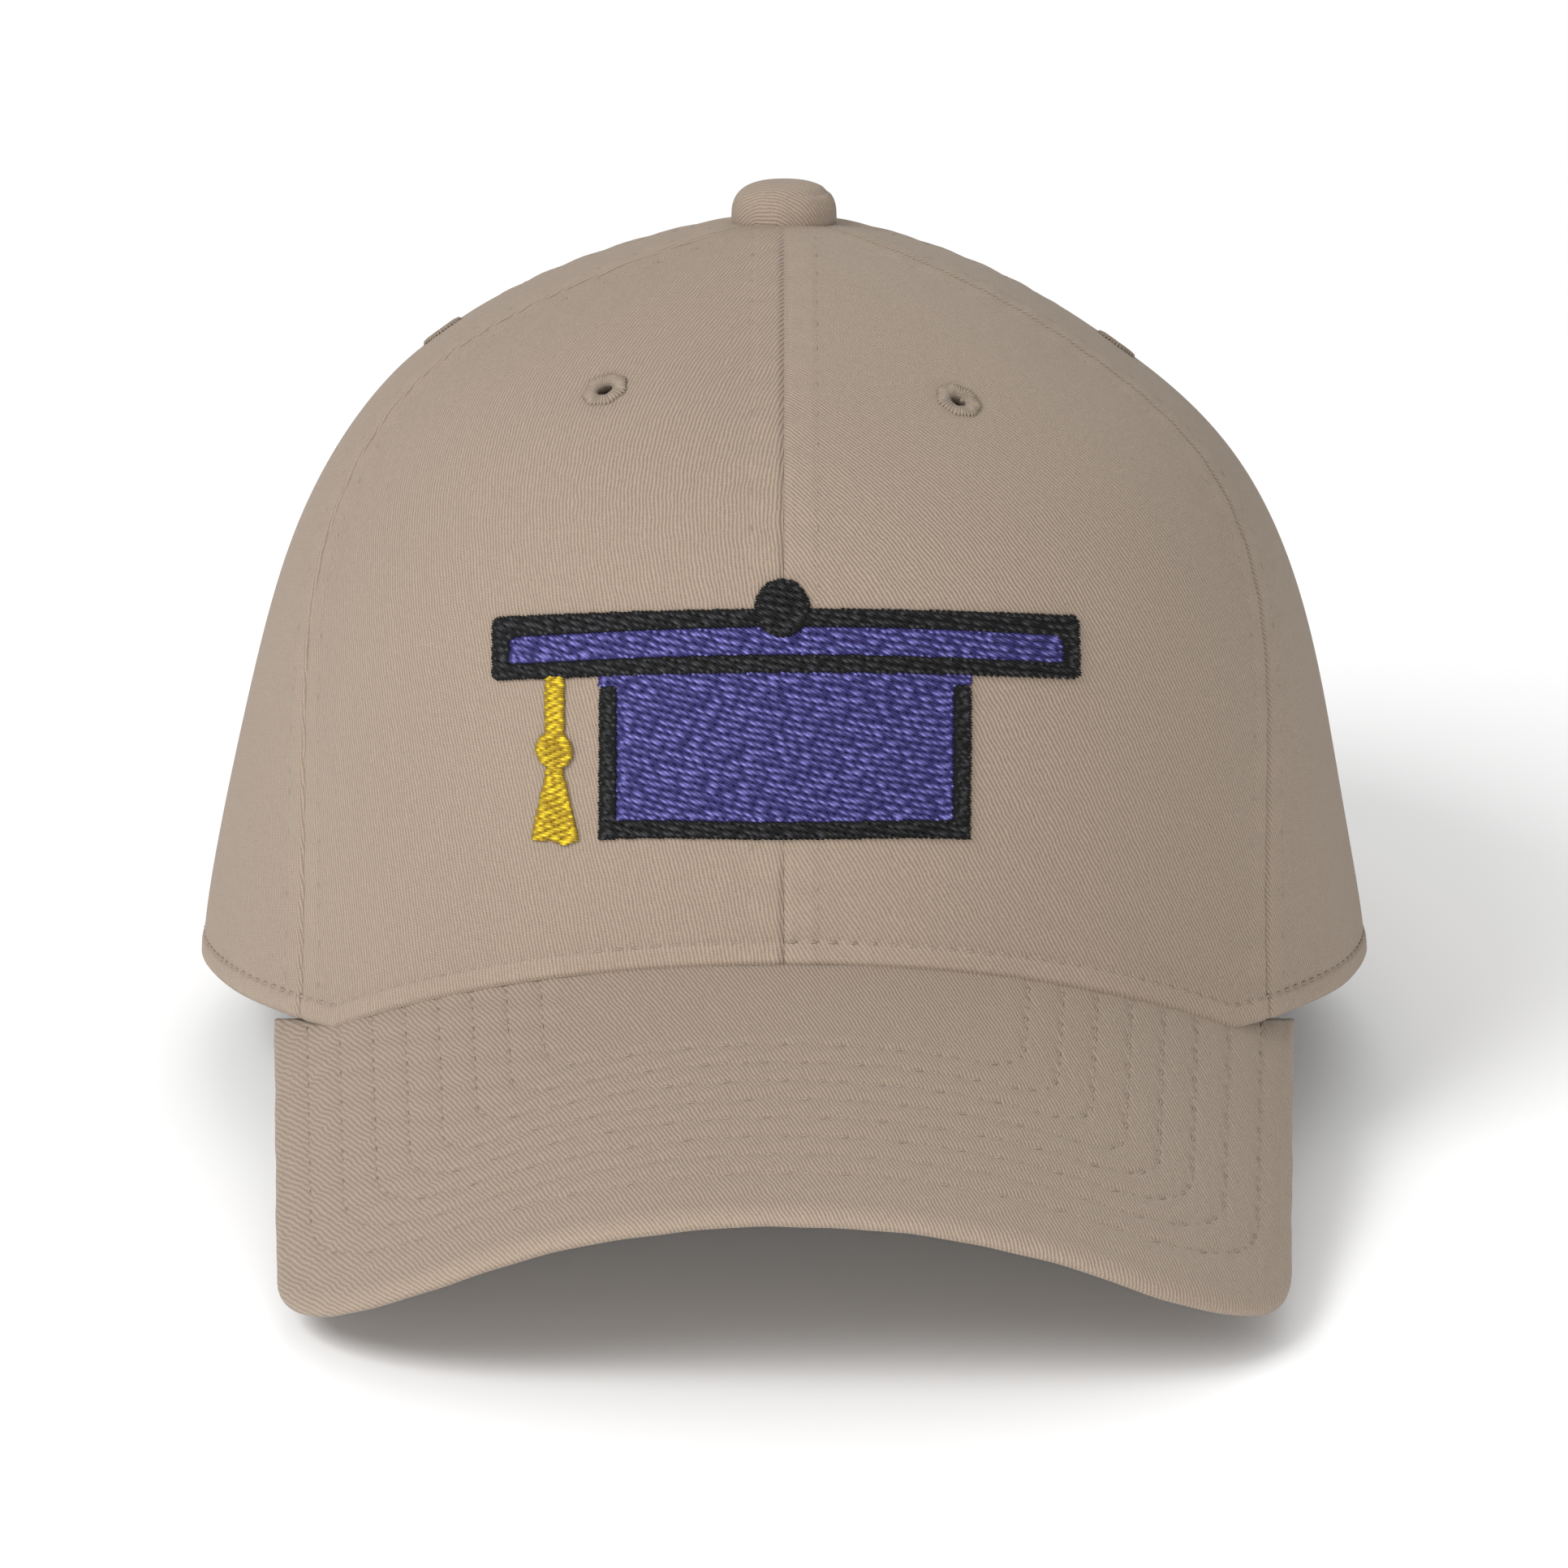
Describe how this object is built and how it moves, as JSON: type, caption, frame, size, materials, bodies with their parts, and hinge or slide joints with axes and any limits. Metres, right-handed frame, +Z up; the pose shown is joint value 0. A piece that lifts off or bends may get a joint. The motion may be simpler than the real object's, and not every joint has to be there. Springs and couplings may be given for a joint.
{
  "type": "baseball cap",
  "caption": "Structured khaki baseball cap with a curved visor, covered button, eyelets, sweatband and an embroidered mortarboard with a tassel.",
  "frame": {"origin": "middle of the cap's footprint, on the surface it stands on", "axes": "+Z up, visor towards -Y, back of the head towards +Y, resting on the visor's two corners and the back of the hem"},
  "size_m": [0.1932, 0.2735, 0.1431],
  "materials": {
    "backing_fleece": "non-woven tear-away backing",
    "binding_tape": "woven binding tape",
    "black_thread": "shiny embroidery thread",
    "board_plastic": "plain moulded sheet",
    "buckram": "stiff open-weave fused interlining",
    "button_metal": "plated pressed steel",
    "button_twill": "khaki cotton twill stretched over the button",
    "crown_twill": "khaki cotton twill, matte",
    "eyelet_thread": "closely worked thread",
    "gold_thread": "metallic embroidery thread",
    "indigo_thread": "shiny embroidery thread",
    "khaki_thread": "twisted sewing thread",
    "label_satin": "blank white satin",
    "padding_foam": "thin felted padding",
    "sweatband_cotton": "brushed cotton twill",
    "visor_twill": "khaki cotton twill, matte",
    "washer_plastic": "plain moulded disc"
  },
  "bodies": {
    "root": {"back_center_seam_tape": "binding_tape", "back_center_topstitch": "khaki_thread", "back_eyelet_left": "eyelet_thread", "back_eyelet_right": "eyelet_thread", "back_panel_left": "crown_twill", "back_panel_right": "crown_twill", "back_seam_tape_left": "binding_tape", "back_seam_tape_right": "binding_tape", "back_topstitch_left": "khaki_thread", "back_topstitch_right": "khaki_thread", "blank_label": "label_satin", "button_cover": "button_twill", "button_shank": "button_metal", "button_shell": "button_metal", "button_washer": "washer_plastic", "embroidery_backing": "backing_fleece", "embroidery_board_fill": "indigo_thread", "embroidery_board_outline": "black_thread", "embroidery_button_dot": "black_thread", "embroidery_skull_fill": "indigo_thread", "embroidery_skull_outline": "black_thread", "embroidery_tassel_cord": "gold_thread", "embroidery_tassel_knot": "gold_thread", "embroidery_tassel_skirt": "gold_thread", "front_buckram_left": "buckram", "front_buckram_right": "buckram", "front_center_seam_tape": "binding_tape", "front_center_topstitch": "khaki_thread", "front_eyelet_left": "eyelet_thread", "front_eyelet_right": "eyelet_thread", "front_panel_left": "crown_twill", "front_panel_right": "crown_twill", "front_seam_tape_left": "binding_tape", "front_seam_tape_right": "binding_tape", "front_topstitch_left": "khaki_thread", "front_topstitch_right": "khaki_thread", "hem_tape": "binding_tape", "hem_topstitch": "khaki_thread", "side_eyelet_left": "eyelet_thread", "side_eyelet_right": "eyelet_thread", "side_panel_left": "crown_twill", "side_panel_right": "crown_twill", "sweatband_face": "sweatband_cotton", "sweatband_padding": "padding_foam", "sweatband_top_binding": "binding_tape", "visor_board": "board_plastic", "visor_stitch_rows": "khaki_thread", "visor_top_cover": "visor_twill", "visor_under_cover": "visor_twill"}
  },
  "joints": []
}
